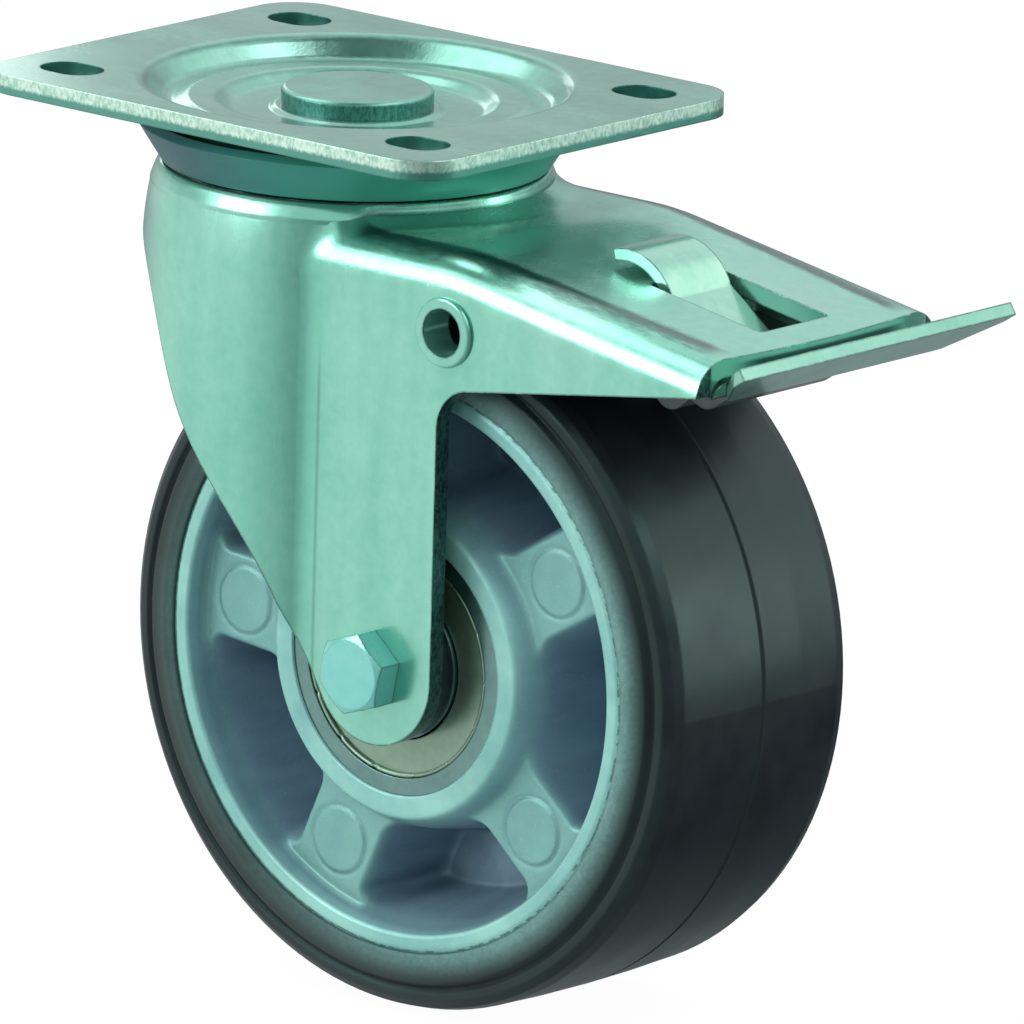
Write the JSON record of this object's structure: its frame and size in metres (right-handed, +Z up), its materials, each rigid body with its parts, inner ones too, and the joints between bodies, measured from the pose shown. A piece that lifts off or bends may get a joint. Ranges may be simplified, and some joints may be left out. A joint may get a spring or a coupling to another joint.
{
  "type": "swivel castor with foot brake",
  "caption": "Swivel castor with a slotted mounting plate, pressed steel fork, aluminium wheel with a black solid rubber tyre, and a foot brake behind the fork.",
  "frame": {"origin": "on the king pin's axis at the top face of the mounting plate, the centre of its four slots", "axes": "+Z up out of the plate's top face, +X toward the trailing wheel and the pedal, -Y toward the head of the axle bolt"},
  "size_m": [0.1721, 0.0859, 0.1567],
  "materials": {
    "plate_zinc": "zinc plated, satin",
    "pin_zinc": "zinc plated, satin",
    "ring_zinc": "zinc plated, dark satin",
    "cup_zinc": "zinc plated",
    "ball_steel": "polished steel",
    "fork_zinc": "zinc plated, satin",
    "rim_aluminium": "die cast, matte",
    "tyre_rubber": "solid elastic rubber, satin",
    "bolt_zinc": "zinc plated",
    "nut_zinc": "zinc plated",
    "washer_zinc": "zinc plated",
    "sleeve_steel": "turned steel",
    "spacer_steel": "turned steel",
    "spacer_dark": "dark steel",
    "lever_zinc": "zinc plated, satin",
    "shoe_steel": "dark steel",
    "leaf_steel": "zinc plated spring steel",
    "ring_steel": "ground steel",
    "shield_steel": "pressed sheet, beige tint",
    "bush_zinc": "zinc plated, rolled lip",
    "rivet_zinc": "zinc plated"
  },
  "bodies": {
    "plate": {"top_plate": "plate_zinc", "king_pin": "pin_zinc", "dust_ring": "ring_zinc", "lower_cup": "cup_zinc"},
    "fork": {"fork": "fork_zinc", "axle_bolt": "bolt_zinc", "axle_nut": "nut_zinc", "nut_washer": "washer_zinc", "axle_sleeve": "sleeve_steel", "middle_spacer": "spacer_steel", "side_spacer_near": "spacer_dark", "side_spacer_far": "spacer_dark", "bearing_inner_near": "ring_steel", "bearing_inner_far": "ring_steel", "lever_bush_near": "bush_zinc", "lever_bush_far": "bush_zinc", "leaf_spring": "leaf_steel"},
    "wheel": {"rim": "rim_aluminium", "tyre": "tyre_rubber", "bearing_outer_near": "ring_steel", "bearing_outer_far": "ring_steel", "bearing_shield_near": "shield_steel", "bearing_shield_far": "shield_steel"},
    "brake": {"brake_lever": "lever_zinc", "brake_shoe": "shoe_steel", "shoe_rivet_near": "rivet_zinc", "shoe_rivet_far": "rivet_zinc"},
    "upper_ball_set": {"upper_balls": "ball_steel"},
    "lower_ball_set": {"lower_balls": "ball_steel"},
    "near_ball_set": {"bearing_balls_near": "ball_steel"},
    "far_ball_set": {"bearing_balls_far": "ball_steel"}
  },
  "joints": [
    {"name": "swivel", "type": "hinge", "parent": "plate", "child": "fork", "pos_m": [0, 0, 0], "axis": [0, 0, 1], "continuous": true},
    {"name": "wheel_spin", "type": "hinge", "parent": "fork", "child": "wheel", "pos_m": [0.0335, 0, -0.0942], "axis": [0, 1, 0], "continuous": true},
    {"name": "brake_pedal", "type": "hinge", "parent": "fork", "child": "brake", "pos_m": [0.0489, 0, -0.0315], "axis": [0, 1, 0], "range_deg": [0, 17.5]},
    {"name": "upper_balls_roll", "type": "hinge", "parent": "plate", "child": "upper_ball_set", "pos_m": [0, 0, 0], "axis": [0, 0, 1], "continuous": true},
    {"name": "lower_balls_roll", "type": "hinge", "parent": "plate", "child": "lower_ball_set", "pos_m": [0, 0, 0], "axis": [0, 0, 1], "continuous": true},
    {"name": "near_balls_roll", "type": "hinge", "parent": "fork", "child": "near_ball_set", "pos_m": [0.0335, 0, -0.0942], "axis": [0, 1, 0], "continuous": true},
    {"name": "far_balls_roll", "type": "hinge", "parent": "fork", "child": "far_ball_set", "pos_m": [0.0335, 0, -0.0942], "axis": [0, 1, 0], "continuous": true}
  ],
  "couplings": [
    {"joint": "upper_balls_roll", "follows": "swivel", "ratio": 0.5},
    {"joint": "lower_balls_roll", "follows": "swivel", "ratio": 0.5},
    {"joint": "near_balls_roll", "follows": "wheel_spin", "ratio": 0.617},
    {"joint": "far_balls_roll", "follows": "wheel_spin", "ratio": 0.617}
  ]
}
